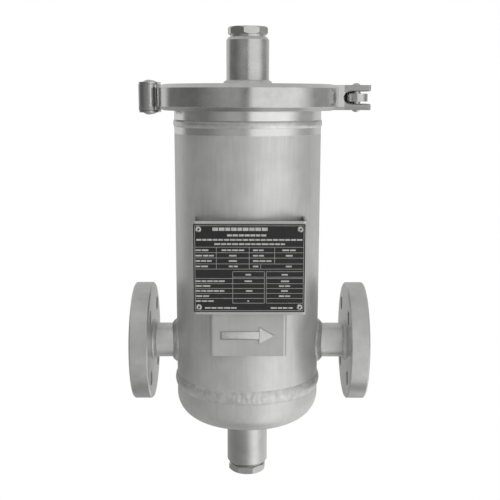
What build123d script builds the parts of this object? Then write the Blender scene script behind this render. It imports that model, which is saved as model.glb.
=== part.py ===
from build123d import *
from math import asin, atan2, cos, degrees, radians, sin, sqrt, tan
import os

# Pot strainer for a DN 25 pipe. Millimetres. The origin is the centre of the inlet flange's
# sealing face, +X runs with the flow and +Z is up. The pot stands on its own vertical axis.

# Nozzles and flanges
INLET_REACH = 111.0
OUTLET_REACH = 115.0
FLANGE_OD = 115.0
FLANGE_THICK = 18.0
FLANGE_EDGE = 1.2
BOLT_EDGE = 15.0
BOLT_HOLE = 14.0
BOLT_COUNT = 4
NOZZLE_OD = 33.7
NOZZLE_WALL = 2.6
FACE_SETBACK = 4.0
NOZZLE_WELD_LEG = 4.5
FLANGE_WELD_LEG = 3.5
BORE_WELD_LEG = 2.0

# Pot and dished end
POT_OD = 139.7
POT_WALL = 2.0
LOWER_SEAM_Z = -36.3
LOWER_SEAM_WIDTH = 13.0
LOWER_SEAM_PROUD = 1.3
UPPER_SEAM_DROP = 23.9
UPPER_SEAM_WIDTH = 6.4
UPPER_SEAM_PROUD = 0.8
SKIRT = 15.0
CROWN_R = 150.0
KNUCKLE_R = 24.0

# Clamped joint between pot and cover
JOINT_Z = 238.4
RIM_WIDTH = 7.65
RIM_EDGE = 3.0
RIM_ANGLE = 20.0
GASKET_THICK = 2.0
GASKET_INSET = 1.0
GASKET_RIB_R = 1.3
GROOVE_R = 1.5
COVER_RISE = 12.1
COVER_WALL = 3.0

# Threaded sockets and plugs
SOCKET_BORE = 33.1
SOCKET_WALL = 3.55
SOCKET_LEDGE = 2.55
SOCKET_WELD_LEG = 3.2
SOCKET_CHAMFER_IN = 2.0
SOCKET_CHAMFER_DOWN = 2.6
VENT_LENGTH = 42.2
DRAIN_LENGTH = 43.9
PLUG_FLATS = 35.4
PLUG_SIDES = 8
PLUG_HEAD = 7.1
COLLAR_LEDGE = 0.05
VENT_COLLAR = 2.3
DRAIN_COLLAR = 1.1
PLUG_SHANK = 17.0
PLUG_CHAMFER = 1.0
PLUG_BEVEL = 1.8
TAPE_THICK = 0.4
VENT_HEAD_TURN = 34.0
DRAIN_HEAD_TURN = 28.0

# Hinged clamp
CLAMP_WALL = 9.5
CLAMP_HEIGHT = 24.0
CLAMP_FACE = 17.0
CLAMP_BEVEL = 7.0
LIP_CLEARANCE = 1.65
GROOVE_DEPTH_CLEARANCE = 1.2
CONE_CLEARANCE = 0.3
HINGE_SPLIT = 1.0
EAR_SPLIT = 3.0
HINGE_OUT = 5.5
BARREL_R = 9.7
BARREL_GAP = 0.5
RELIEF_R = 2.4
RELIEF_ANGLE = 11.4
LINK_THICK = 2.0
LINK_INSET = 0.5
HINGE_GAP = 0.2
HINGE_PIN_D = 7.0
HINGE_HEAD_D = 11.5
HINGE_HEAD_RISE = 2.1

# Ears and swing bolt
EAR_ROOT = 7.8
EAR_REACH = 26.8
EAR_DEPTH = 20.0
EAR_INSET = 0.6
EAR_CORNER = 2.0
SLOT_CLEARANCE = 0.7
SLOT_WALL = 1.9
SLOT_RIM = 0.8
EYE_OUT = 14.3
EYE_OD = 21.4
EYE_THICK = 7.3
EYE_PIN_D = 6.0
EYE_HEAD_D = 8.0
EYE_HEAD_RISE = 2.0
BOLT_D = 10.0
BOLT_LENGTH = 64.0
WASHER_OD = 20.0
WASHER_THICK = 3.0
WASHER_CLEARANCE = 0.25
NUT_FLATS = 16.0
NUT_SIDES = 6
NUT_HEIGHT = 8.0
BOLT_CHAMFER = 0.8
NUT_BEVEL = 0.8

# Plates on the front of the pot
SHEET = 2.0
BEND_R = 3.0
BRACKET_WIDTH = 101.6
BRACKET_X = 2.0
BRACKET_LOW_Z = 46.8
BRACKET_HEIGHT = 84.5
BRACKET_STANDOFF = 9.15
NAME_WIDTH = 99.0
NAME_HEIGHT = 79.4
NAME_X = 1.5
NAME_Z = 89.1
NAME_THICK = 1.0
RIVET_INSET = 4.5
RIVET_HEAD_R = 2.8
RIVET_HEAD_RISE = 0.7
RIVET_R = 1.6
RIVET_BORE_R = 0.9
RIVET_TAIL_R = 2.0
RIVET_TAIL = 1.2
ARROW_PLATE_WIDTH = 69.6
ARROW_PLATE_X = 0.8
ARROW_PLATE_LOW_Z = 5.7
ARROW_PLATE_HEIGHT = 50.0
ARROW_PLATE_STANDOFF = 2.15
ARROW_TAIL_X = -24.0
ARROW_NECK_X = 11.0
ARROW_TIP_X = 24.2
ARROW_Z = 25.2
ARROW_SHAFT = 6.9
ARROW_HEAD = 15.4
ARROW_RISE = 0.8

# Strainer insert
SEAT_DROP = 48.4
SEAT_THICK = 5.0
SEAT_WIDTH = 8.0
SCREEN_GAP = 11.85
SCREEN_WALL = 1.5
SCREEN_LOW_Z = -44.0
RIM_RING_THICK = 4.0
RIM_RING_CLEARANCE = 1.85
LINER_WALL = 0.6
BASE_THICK = 2.0
SCREEN_TIERS = 4
SCREEN_COLUMNS = 16
SCREEN_SLOT_WIDTH = 10.0
SCREEN_SLOT_HEIGHT = 32.0
SCREEN_PITCH = 42.0
SCREEN_FIRST_Z = 10.0
WINDOW_OD = 32.0
SPIGOT_GAP = 0.5
HANDLE_ROD = 5.0
HANDLE_RISE = 30.0
HANDLE_BEND_R = 14.0

# Gaps between pieces
FIT = 0.05
WELD_GAP = 0.05

# Sizes that follow from the ones above
POT_R = POT_OD / 2
POT_BORE_R = POT_R - POT_WALL
NOZZLE_R = NOZZLE_OD / 2
NOZZLE_BORE_R = NOZZLE_R - NOZZLE_WALL
BOLT_CIRCLE = FLANGE_OD - 2 * BOLT_EDGE
UPPER_SEAM_Z = JOINT_Z - UPPER_SEAM_DROP
RIM_R = POT_R + RIM_WIDTH
RIM_SLOPE = tan(radians(RIM_ANGLE))
CONE_RISE = (RIM_R - POT_R) * RIM_SLOPE
FERRULE_TOP_Z = JOINT_Z - GASKET_THICK / 2
COVER_LOW_Z = JOINT_Z + GASKET_THICK / 2
COVER_TOP_Z = COVER_LOW_Z + COVER_RISE
COVER_DROP = COVER_RISE - RIM_EDGE - CONE_RISE
COVER_CROWN_R = (POT_R**2 + COVER_DROP**2) / (2 * COVER_DROP)
TANGENT_Z = LOWER_SEAM_Z - SKIRT
CROWN_CENTRE_Z = TANGENT_Z + sqrt((CROWN_R - KNUCKLE_R) ** 2 - (POT_R - KNUCKLE_R) ** 2)
CROWN_LOW_Z = CROWN_CENTRE_Z - CROWN_R
SOCKET_R = SOCKET_BORE / 2 + SOCKET_WALL
SOCKET_HOLE_R = SOCKET_BORE / 2 - SOCKET_LEDGE
PLUG_COLLAR_R = SOCKET_BORE / 2 + COLLAR_LEDGE
CLAMP_R = RIM_R + CLAMP_WALL
CLAMP_LIP_R = POT_R + LIP_CLEARANCE
HINGE_X = -(CLAMP_R + HINGE_OUT)
HINGE_Y = BARREL_R + BARREL_GAP
LINK_WIDTH = 2 * (BARREL_R - LINK_INSET)
EAR_START_X = CLAMP_R - EAR_ROOT
EAR_END_X = CLAMP_R + EAR_REACH
EAR_HEIGHT = CLAMP_HEIGHT - 2 * EAR_INSET
SLOT_HEIGHT = BOLT_D + 2 * SLOT_CLEARANCE
SLOT_END_X = CLAMP_R + SLOT_WALL
EYE_X = CLAMP_R + EYE_OUT
EYE_Y = -(EAR_SPLIT + EAR_DEPTH / 2)
SEAT_R = EAR_SPLIT + EAR_DEPTH - EYE_Y
EYE_PIN_R = EYE_PIN_D / 2
HINGE_PIN_R = HINGE_PIN_D / 2
BARREL_HEIGHT = CLAMP_HEIGHT - 2 * HINGE_GAP
BRACKET_FRONT = POT_R + BRACKET_STANDOFF
ARROW_PLATE_FRONT = POT_R + ARROW_PLATE_STANDOFF
SEAT_Z = JOINT_Z - SEAT_DROP
SCREEN_R = POT_BORE_R - SCREEN_GAP
SCREEN_BORE_R = SCREEN_R - SCREEN_WALL
RIM_RING_R = POT_BORE_R - RIM_RING_CLEARANCE
RIM_RING_LOW_Z = SEAT_Z + SEAT_THICK
RIM_RING_TOP_Z = RIM_RING_LOW_Z + RIM_RING_THICK
GASKET_MID_R = (POT_BORE_R + RIM_R - GASKET_INSET) / 2

# Planes and axes that the pieces are drawn on
POT_AXIS = Axis((INLET_REACH, 0, 0), (0, 0, 1))
SECTION = Plane(origin=(INLET_REACH, 0, 0), x_dir=(1, 0, 0), z_dir=(0, -1, 0))
COVER_CROWN = Plane(origin=(INLET_REACH, 0, COVER_TOP_Z), z_dir=(0, 0, 1))
END_CROWN = Plane(origin=(INLET_REACH, 0, CROWN_LOW_Z), x_dir=(1, 0, 0), z_dir=(0, 0, -1))


def level(z):
    """Horizontal plane at height z, centred on the pot's axis."""
    return Plane(origin=(INLET_REACH, 0, z), z_dir=(0, 0, 1))


def front(y):
    """Upright plane in front of the pot, facing the viewer, y in front of the pot's axis."""
    return Plane(origin=(INLET_REACH, -y, 0), x_dir=(1, 0, 0), z_dir=(0, -1, 0))


def radial_section(base):
    """Section plane through a base plane's normal: x is the radius, y the height."""
    return Plane(origin=base.origin, x_dir=base.x_dir, z_dir=base.x_dir.cross(base.z_dir))


def half_bead(z, width, proud, side):
    """Outline of half a girth weld, from its crest at height z down to the wall."""
    bead_r = (proud**2 + (width / 2) ** 2) / (2 * proud)
    swing = degrees(asin(width / 2 / bead_r))
    return CenterArc((POT_R + proud - bead_r, z), bead_r, 0, side * swing)


def save(part, label):
    """Labels a finished piece and writes it."""
    part.label = label
    export_step(part, f"parts/{label}.step")


os.makedirs("parts", exist_ok=True)

# Pot: a straight pipe with half of each girth weld, bored for the two nozzles
with BuildPart() as shell:
    with BuildSketch(SECTION):
        with BuildLine():
            lower = half_bead(LOWER_SEAM_Z, LOWER_SEAM_WIDTH, LOWER_SEAM_PROUD, 1)
            upper = half_bead(UPPER_SEAM_Z, UPPER_SEAM_WIDTH, UPPER_SEAM_PROUD, -1)
            Line(lower @ 1, upper @ 1)
            Polyline(
                lower @ 0, (POT_BORE_R, LOWER_SEAM_Z), (POT_BORE_R, UPPER_SEAM_Z), upper @ 0
            )
        make_face()
    revolve(axis=POT_AXIS)
    with BuildSketch(Plane.YZ):
        Circle(NOZZLE_R + WELD_GAP)
    extrude(amount=INLET_REACH + OUTLET_REACH, mode=Mode.SUBTRACT)
save(shell.part, "shell")

# Dished end: skirt, knuckle and crown of even wall, with the hole for the drain
with BuildPart() as dished_end:
    knuckle_in = POT_R - KNUCKLE_R
    lean = degrees(atan2(CROWN_CENTRE_Z - TANGENT_Z, knuckle_in))
    with BuildSketch(SECTION):
        with BuildLine():
            bead = half_bead(LOWER_SEAM_Z, LOWER_SEAM_WIDTH, LOWER_SEAM_PROUD, -1)
            Line(bead @ 1, (POT_R, TANGENT_Z))
            CenterArc((knuckle_in, TANGENT_Z), KNUCKLE_R, 0, -lean)
            CenterArc((0, CROWN_CENTRE_Z), CROWN_R, -lean, lean - 90)
            Line((0, CROWN_LOW_Z), (0, CROWN_LOW_Z + POT_WALL))
            CenterArc((0, CROWN_CENTRE_Z), CROWN_R - POT_WALL, -90, 90 - lean)
            CenterArc((knuckle_in, TANGENT_Z), KNUCKLE_R - POT_WALL, -lean, lean)
            Polyline((POT_BORE_R, TANGENT_Z), (POT_BORE_R, LOWER_SEAM_Z), bead @ 0)
        make_face()
    revolve(axis=POT_AXIS)
    with BuildSketch(END_CROWN):
        Circle(SOCKET_HOLE_R)
    extrude(amount=POT_R, both=True, mode=Mode.SUBTRACT)
save(dished_end.part, "dished_end")

# Body ferrule: neck, 20 degree clamping cone and a face with a groove for the gasket's rib
with BuildPart() as body_ferrule:
    cone_foot_z = FERRULE_TOP_Z - RIM_EDGE - CONE_RISE
    with BuildSketch(SECTION):
        with BuildLine():
            bead = half_bead(UPPER_SEAM_Z, UPPER_SEAM_WIDTH, UPPER_SEAM_PROUD, 1)
            Polyline(
                bead @ 1,
                (POT_R, cone_foot_z),
                (RIM_R, FERRULE_TOP_Z - RIM_EDGE),
                (RIM_R, FERRULE_TOP_Z),
                (POT_BORE_R, FERRULE_TOP_Z),
                (POT_BORE_R, UPPER_SEAM_Z),
                bead @ 0,
            )
        make_face()
        with Locations((GASKET_MID_R, FERRULE_TOP_Z)):
            Circle(GROOVE_R, mode=Mode.SUBTRACT)
    revolve(axis=POT_AXIS)
save(body_ferrule.part, "body_ferrule")

# Cover: shallow domed lid with the same cone and groove as the ferrule below it
with BuildPart() as cover:
    crown_centre_z = COVER_TOP_Z - COVER_CROWN_R
    outer_half = degrees(asin(POT_R / COVER_CROWN_R))
    under_r = COVER_CROWN_R - COVER_WALL
    inner_half = degrees(asin(POT_BORE_R / under_r))
    with BuildSketch(SECTION):
        with BuildLine():
            dome = CenterArc((0, crown_centre_z), COVER_CROWN_R, 90, -outer_half)
            Polyline(
                dome @ 1,
                (RIM_R, COVER_LOW_Z + RIM_EDGE),
                (RIM_R, COVER_LOW_Z),
                (POT_BORE_R, COVER_LOW_Z),
                (POT_BORE_R, crown_centre_z + under_r * cos(radians(inner_half))),
            )
            CenterArc((0, crown_centre_z), under_r, 90 - inner_half, inner_half)
            Line((0, crown_centre_z + under_r), dome @ 0)
        make_face()
        with Locations((GASKET_MID_R, COVER_LOW_Z)):
            Circle(GROOVE_R, mode=Mode.SUBTRACT)
    revolve(axis=POT_AXIS)
    with BuildSketch(COVER_CROWN):
        Circle(SOCKET_HOLE_R)
    extrude(amount=COVER_RISE, both=True, mode=Mode.SUBTRACT)
save(cover.part, "cover")

# Gasket: flat ring with a round rib that sits in both grooves
with BuildPart() as cover_gasket:
    with BuildSketch(SECTION):
        with Locations(((POT_BORE_R + RIM_R - GASKET_INSET) / 2, JOINT_Z)):
            Rectangle(RIM_R - GASKET_INSET - POT_BORE_R, GASKET_THICK)
        for face_z in (FERRULE_TOP_Z, COVER_LOW_Z):
            with Locations((GASKET_MID_R, face_z)):
                Circle(GASKET_RIB_R)
    revolve(axis=POT_AXIS)
save(cover_gasket.part, "cover_gasket")


def make_flange(face):
    """Plate flange with its sealing face on the plane and its bolt holes off the centre lines."""
    with BuildPart() as flange:
        with BuildSketch(face):
            Circle(FLANGE_OD / 2)
        extrude(amount=-FLANGE_THICK)
        chamfer(flange.edges().filter_by(GeomType.CIRCLE), FLANGE_EDGE)
        with BuildSketch(face):
            Circle(NOZZLE_R + WELD_GAP)
            with PolarLocations(BOLT_CIRCLE / 2, BOLT_COUNT, start_angle=180 / BOLT_COUNT):
                Circle(BOLT_HOLE / 2)
        extrude(amount=-FLANGE_THICK, mode=Mode.SUBTRACT)
    return flange.part


def make_nozzle(face, reach, end_r):
    """Short pipe from a flange to the pot, with its welds, cut off at end_r from the pot's axis.

    face is the flange's sealing face, whose normal points away from the pot.
    """
    along = Axis(face.origin, face.z_dir)
    with BuildPart() as nozzle:
        # Fillet weld on the pot: the seam of pipe and wall, filled evenly all the way round
        with BuildSketch(level(-POT_R)):
            Circle(POT_R + WELD_GAP)
        extrude(amount=POT_OD)
        with BuildSketch(face):
            Circle(NOZZLE_R)
        extrude(amount=-reach)
        chamfer(nozzle.edges().filter_by(GeomType.BSPLINE), NOZZLE_WELD_LEG)
        with BuildSketch(level(-POT_R)):
            Circle(POT_R + WELD_GAP)
        extrude(amount=POT_OD, mode=Mode.SUBTRACT)
        with BuildSketch(face):
            Circle(NOZZLE_R)
        extrude(amount=-reach, mode=Mode.SUBTRACT)
        with BuildSketch(radial_section(face)):
            # Pipe, the weld behind the flange and the weld inside the flange's bore
            with BuildLine():
                Polyline(
                    (NOZZLE_BORE_R, -reach),
                    (NOZZLE_R, -reach),
                    (NOZZLE_R, -FLANGE_THICK - FLANGE_WELD_LEG),
                    (NOZZLE_R + FLANGE_WELD_LEG, -FLANGE_THICK),
                    (NOZZLE_R, -FLANGE_THICK),
                    (NOZZLE_R, -FACE_SETBACK + BORE_WELD_LEG),
                    (NOZZLE_R - BORE_WELD_LEG, -FACE_SETBACK),
                    (NOZZLE_BORE_R, -FACE_SETBACK),
                    close=True,
                )
            make_face()
        revolve(axis=along)
        with BuildSketch(level(-POT_R)):
            Circle(end_r)
        extrude(amount=POT_OD, mode=Mode.SUBTRACT)
    return nozzle.part


INLET_FACE = Plane(origin=(0, 0, 0), x_dir=(0, 1, 0), z_dir=(-1, 0, 0))
OUTLET_FACE = Plane(origin=(INLET_REACH + OUTLET_REACH, 0, 0), x_dir=(0, 1, 0), z_dir=(1, 0, 0))
save(make_flange(INLET_FACE), "inlet_flange")
save(make_flange(OUTLET_FACE), "outlet_flange")
save(make_nozzle(INLET_FACE, INLET_REACH, SCREEN_R + SPIGOT_GAP), "inlet_nozzle")
save(make_nozzle(OUTLET_FACE, OUTLET_REACH, POT_BORE_R), "outlet_nozzle")


def make_socket(crown, crown_r, length):
    """Threaded socket set on a crown, with its fillet weld and a chamfered mouth."""
    weld_r = SOCKET_R + SOCKET_WELD_LEG
    seat_r = crown_r + WELD_GAP
    foot, toe = (sqrt(seat_r**2 - r**2) - crown_r for r in (SOCKET_BORE / 2, weld_r))
    with BuildPart() as socket:
        with BuildSketch(radial_section(crown)):
            with BuildLine():
                start = degrees(asin(SOCKET_BORE / 2 / seat_r))
                end = degrees(asin(weld_r / seat_r))
                CenterArc((0, -crown_r), seat_r, 90 - start, start - end)
                Polyline(
                    (weld_r, toe),
                    (SOCKET_R, toe + SOCKET_WELD_LEG),
                    (SOCKET_R, length - SOCKET_CHAMFER_DOWN),
                    (SOCKET_R - SOCKET_CHAMFER_IN, length),
                    (SOCKET_BORE / 2, length),
                    (SOCKET_BORE / 2, foot),
                )
            make_face()
        revolve(axis=Axis(crown.origin, crown.z_dir))
    return socket.part


save(make_socket(COVER_CROWN, COVER_CROWN_R, VENT_LENGTH), "vent_socket")
save(make_socket(END_CROWN, CROWN_R, DRAIN_LENGTH), "drain_socket")


def make_head(foot, flats, sides, height, bevel, turn=0):
    """Wrench head on a plane: a prism whose corners are turned off to a cone at each end."""
    flat_r = flats / 2
    corner_r = flat_r + bevel
    with BuildPart() as head:
        with BuildSketch(foot):
            RegularPolygon(radius=flat_r, side_count=sides, major_radius=False, rotation=turn)
        extrude(amount=height)
        with BuildSketch(radial_section(foot)):
            with BuildLine():
                Polyline(
                    (0, 0),
                    (flat_r, 0),
                    (corner_r, bevel),
                    (corner_r, height - bevel),
                    (flat_r, height),
                    (0, height),
                    close=True,
                )
            make_face()
        revolve(axis=Axis(foot.origin, foot.z_dir), mode=Mode.INTERSECT)
    return head.part


def make_plug(mouth, collar, head_turn):
    """Plug screwed into a socket's mouth: plain shank, collar and eight-sided head."""
    shank_r = SOCKET_BORE / 2 - TAPE_THICK - 2 * FIT
    with BuildPart() as plug:
        with BuildSketch(mouth.offset(collar)):
            Circle(shank_r)
        extrude(amount=-PLUG_SHANK - collar)
        tip = plug.faces().sort_by(Axis(mouth.origin, mouth.z_dir))[0]
        chamfer(tip.edges(), PLUG_CHAMFER)
        with BuildSketch(mouth.offset(FIT)):
            Circle(PLUG_COLLAR_R)
        extrude(amount=collar - FIT)
        add(make_head(mouth.offset(collar), PLUG_FLATS, PLUG_SIDES, PLUG_HEAD, PLUG_BEVEL, head_turn))
    return plug.part


def make_tape(mouth):
    """Sleeve of sealing tape in the thread, between the plug's shank and the socket."""
    outer_r = SOCKET_BORE / 2 - FIT
    with BuildPart() as tape:
        with BuildSketch(mouth.offset(-FIT)):
            Circle(outer_r)
            Circle(outer_r - TAPE_THICK, mode=Mode.SUBTRACT)
        extrude(amount=FIT - PLUG_SHANK)
    return tape.part


VENT_MOUTH = COVER_CROWN.offset(VENT_LENGTH)
DRAIN_MOUTH = END_CROWN.offset(DRAIN_LENGTH)
save(make_plug(VENT_MOUTH, VENT_COLLAR, VENT_HEAD_TURN), "vent_plug")
save(make_plug(DRAIN_MOUTH, DRAIN_COLLAR, DRAIN_HEAD_TURN), "drain_plug")
save(make_tape(VENT_MOUTH), "vent_thread_seal")
save(make_tape(DRAIN_MOUTH), "drain_thread_seal")


def make_clamp_half(side):
    """One half of the hinged clamp: V-grooved band, hinge barrel and slotted ear.

    side is -1 for the half in front of the pot and 1 for the one behind it.
    """
    half_height = CLAMP_HEIGHT / 2
    rim_half = GASKET_THICK / 2 + RIM_EDGE + CONE_CLEARANCE
    groove_r = RIM_R + GROOVE_DEPTH_CLEARANCE
    lip_half = rim_half + (RIM_R - CLAMP_LIP_R) * RIM_SLOPE
    groove_half = rim_half - (groove_r - RIM_R) * RIM_SLOPE
    band_section = SECTION.offset(0)
    band_section.origin = (INLET_REACH, 0, JOINT_Z)
    with BuildPart() as half:
        # Band: half a turn of the section, then cut back to the splits at hinge and ear
        with BuildSketch(band_section):
            with BuildLine():
                Polyline(
                    (CLAMP_LIP_R, lip_half),
                    (CLAMP_LIP_R, half_height),
                    (CLAMP_R - CLAMP_BEVEL, half_height),
                    (CLAMP_R, CLAMP_FACE / 2),
                    (CLAMP_R, -CLAMP_FACE / 2),
                    (CLAMP_R - CLAMP_BEVEL, -half_height),
                    (CLAMP_LIP_R, -half_height),
                    (CLAMP_LIP_R, -lip_half),
                    (groove_r, -groove_half),
                    (groove_r, groove_half),
                    close=True,
                )
            make_face()
        revolve(axis=POT_AXIS, revolution_arc=side * 180)
        with BuildSketch(level(JOINT_Z)):
            for x, split in ((-CLAMP_R, HINGE_SPLIT), (CLAMP_R, EAR_SPLIT)):
                with Locations((x, 0)):
                    Rectangle(CLAMP_R, 2 * split)
        extrude(amount=half_height, both=True, mode=Mode.SUBTRACT)
        # Barrel for the hinge pin, with a relief groove where it meets the band
        with BuildSketch(level(JOINT_Z)):
            with Locations((HINGE_X, side * HINGE_Y)):
                Circle(BARREL_R)
        extrude(amount=BARREL_HEIGHT / 2, both=True)
        with BuildSketch(level(JOINT_Z)):
            with Locations((HINGE_X, side * HINGE_Y)):
                Circle(HINGE_PIN_R + FIT)
            relief_turn = radians(RELIEF_ANGLE)
            with Locations((-CLAMP_R * cos(relief_turn), side * CLAMP_R * sin(relief_turn))):
                Circle(RELIEF_R)
        extrude(amount=half_height, both=True, mode=Mode.SUBTRACT)
        # Ear: the front one holds the eye, the rear one is rounded about it to seat the washer
        with BuildSketch(level(JOINT_Z)):
            with Locations(((EAR_START_X + EAR_END_X) / 2, side * (EAR_SPLIT + EAR_DEPTH / 2))):
                Rectangle(EAR_END_X - EAR_START_X, EAR_DEPTH)
            fillet(vertices().group_by(Axis.X)[-1], EAR_CORNER)
            if side > 0:
                with Locations((EYE_X, EYE_Y)):
                    Circle(SEAT_R, mode=Mode.INTERSECT)
        extrude(amount=EAR_HEIGHT / 2, both=True)
        with BuildSketch(band_section):
            with Locations((SLOT_END_X + SLOT_HEIGHT / 2, 0)):
                Circle(SLOT_HEIGHT / 2)
                Rectangle(EAR_END_X, SLOT_HEIGHT, align=(Align.MIN, Align.CENTER))
        extrude(amount=CLAMP_R, both=True, mode=Mode.SUBTRACT)
        if side < 0:
            outer_y = -EAR_SPLIT - EAR_DEPTH
            slot_half = SLOT_HEIGHT / 2 + FIT
            rim = half.edges().filter_by_position(Axis.Y, outer_y - FIT, outer_y + FIT)
            rim = rim.filter_by_position(Axis.Z, JOINT_Z - slot_half, JOINT_Z + slot_half)
            rim = rim.filter_by_position(Axis.X, INLET_REACH + SLOT_END_X - FIT, INLET_REACH + EAR_END_X)
            chamfer(rim, SLOT_RIM)
            with BuildSketch(level(JOINT_Z)):
                with Locations((EYE_X, EYE_Y)):
                    Circle(EYE_PIN_R + FIT)
            extrude(amount=half_height, both=True, mode=Mode.SUBTRACT)
    return half.part


save(make_clamp_half(-1), "clamp_front_half")
save(make_clamp_half(1), "clamp_rear_half")


def make_link(low_z):
    """Link plate that joins the two hinge pins, from the height low_z up."""
    with BuildPart() as link:
        with BuildSketch(level(low_z)):
            with Locations((HINGE_X, 0)):
                SlotCenterToCenter(2 * HINGE_Y, LINK_WIDTH, rotation=90)
            with Locations((HINGE_X, HINGE_Y), (HINGE_X, -HINGE_Y)):
                Circle(HINGE_PIN_R + FIT, mode=Mode.SUBTRACT)
        extrude(amount=LINK_THICK)
    return link.part


save(make_link(JOINT_Z + CLAMP_HEIGHT / 2), "hinge_link_upper")
save(make_link(JOINT_Z - CLAMP_HEIGHT / 2 - LINK_THICK), "hinge_link_lower")


def make_rivet_pin(x, y, pin_r, head_r, head_rise, half_length):
    """Upright pin with a domed head at each end, centred on the clamp's mid height."""
    dome_r = (head_r**2 + head_rise**2) / (2 * head_rise)
    swing = degrees(asin(head_r / dome_r))
    section = Plane(origin=(INLET_REACH + x, y, JOINT_Z), x_dir=(1, 0, 0), z_dir=(0, -1, 0))
    with BuildPart() as pin:
        with BuildSketch(section):
            with BuildLine():
                top = CenterArc((0, half_length + head_rise - dome_r), dome_r, 90, -swing)
                Polyline(
                    top @ 1, (pin_r, half_length), (pin_r, -half_length), (head_r, -half_length)
                )
                CenterArc((0, dome_r - head_rise - half_length), dome_r, swing - 90, -swing)
                Line((0, -half_length - head_rise), top @ 0)
            make_face()
        revolve(axis=Axis(section.origin, (0, 0, 1)))
    return pin.part


LINK_HALF = CLAMP_HEIGHT / 2 + LINK_THICK
for pin_name, pin_side in (("hinge_pin_front", -1), ("hinge_pin_rear", 1)):
    pin_y = pin_side * HINGE_Y
    hinge_pin = make_rivet_pin(
        HINGE_X, pin_y, HINGE_PIN_R, HINGE_HEAD_D / 2, HINGE_HEAD_RISE, LINK_HALF
    )
    save(hinge_pin, pin_name)
save(
    make_rivet_pin(EYE_X, EYE_Y, EYE_PIN_R, EYE_HEAD_D / 2, EYE_HEAD_RISE, EAR_HEIGHT / 2),
    "eye_bolt_pin",
)

# Swing bolt: a flat eye on the pin and a shank that points to the rear at rest
BOLT_START = Plane(
    origin=(INLET_REACH + EYE_X, EYE_Y, JOINT_Z), x_dir=(-1, 0, 0), z_dir=(0, 1, 0)
)
BOLT_AXIS = Axis(BOLT_START.origin, BOLT_START.z_dir)
with BuildPart() as eye_bolt:
    with BuildSketch(BOLT_START):
        Circle(BOLT_D / 2)
    extrude(amount=BOLT_LENGTH)
    chamfer(eye_bolt.faces().sort_by(BOLT_AXIS)[-1].edges(), BOLT_CHAMFER)
    with BuildSketch(level(JOINT_Z)):
        with Locations((EYE_X, EYE_Y)):
            Circle(EYE_OD / 2)
    extrude(amount=EYE_THICK / 2, both=True)
    with BuildSketch(level(JOINT_Z)):
        with Locations((EYE_X, EYE_Y)):
            Circle(EYE_PIN_R + FIT)
    extrude(amount=BOLT_D, both=True, mode=Mode.SUBTRACT)
save(eye_bolt.part, "eye_bolt")

# Saddle washer: its hollow face matches the rounded back of the rear ear
WASHER_FACE_R = SEAT_R + CONE_CLEARANCE
WASHER_BACK = WASHER_FACE_R + WASHER_THICK
with BuildPart() as clamp_washer:
    with BuildSketch(BOLT_START.offset(WASHER_BACK)):
        Circle(WASHER_OD / 2)
        Circle(BOLT_D / 2 + WASHER_CLEARANCE, mode=Mode.SUBTRACT)
    extrude(amount=-2 * WASHER_THICK)
    with BuildSketch(level(JOINT_Z)):
        with Locations((EYE_X, EYE_Y)):
            Circle(WASHER_FACE_R)
    extrude(amount=WASHER_OD, both=True, mode=Mode.SUBTRACT)
save(clamp_washer.part, "clamp_washer")

# Nut: six flats, a bevel at each end and a bore that runs on the bolt
with BuildPart() as clamp_nut:
    nut_foot = BOLT_START.offset(WASHER_BACK + FIT)
    add(make_head(nut_foot, NUT_FLATS, NUT_SIDES, NUT_HEIGHT, NUT_BEVEL))
    with BuildSketch(nut_foot):
        Circle(BOLT_D / 2 + FIT)
    extrude(amount=NUT_HEIGHT, mode=Mode.SUBTRACT)
save(clamp_nut.part, "clamp_nut")


def make_stand(x, width, low_z, height, front_y):
    """Bent sheet: a flat front whose two sides run back to the pot."""
    with BuildPart() as stand:
        with BuildSketch(level(low_z)):
            with Locations((x, -front_y)):
                Rectangle(width, front_y, align=(Align.CENTER, Align.MIN))
            fillet(vertices().group_by(Axis.Y)[0], BEND_R)
        extrude(amount=height)
        with BuildSketch(level(low_z)):
            with Locations((x, SHEET - front_y)):
                Rectangle(width - 2 * SHEET, front_y, align=(Align.CENTER, Align.MIN))
            fillet(vertices().group_by(Axis.Y)[0], BEND_R - SHEET)
        extrude(amount=height, mode=Mode.SUBTRACT)
        with BuildSketch(level(low_z)):
            Circle(POT_R + WELD_GAP)
        extrude(amount=height, mode=Mode.SUBTRACT)
    return stand.part


RIVET_PLACES = [
    (NAME_X + sx * (NAME_WIDTH / 2 - RIVET_INSET), NAME_Z + sz * (NAME_HEIGHT / 2 - RIVET_INSET))
    for sx in (-1, 1)
    for sz in (-1, 1)
]

# Bracket with a hole for each rivet
with BuildPart() as plate_bracket:
    add(make_stand(BRACKET_X, BRACKET_WIDTH, BRACKET_LOW_Z, BRACKET_HEIGHT, BRACKET_FRONT))
    with BuildSketch(front(BRACKET_FRONT)):
        with Locations(*RIVET_PLACES):
            Circle(RIVET_R + FIT)
    extrude(amount=-SHEET, mode=Mode.SUBTRACT)
save(plate_bracket.part, "plate_bracket")

# Name plate, blank
with BuildPart() as name_plate:
    with BuildSketch(front(BRACKET_FRONT)):
        with Locations((NAME_X, NAME_Z)):
            Rectangle(NAME_WIDTH, NAME_HEIGHT)
        with Locations(*RIVET_PLACES):
            Circle(RIVET_R + FIT, mode=Mode.SUBTRACT)
    extrude(amount=NAME_THICK)
save(name_plate.part, "name_plate")

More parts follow.
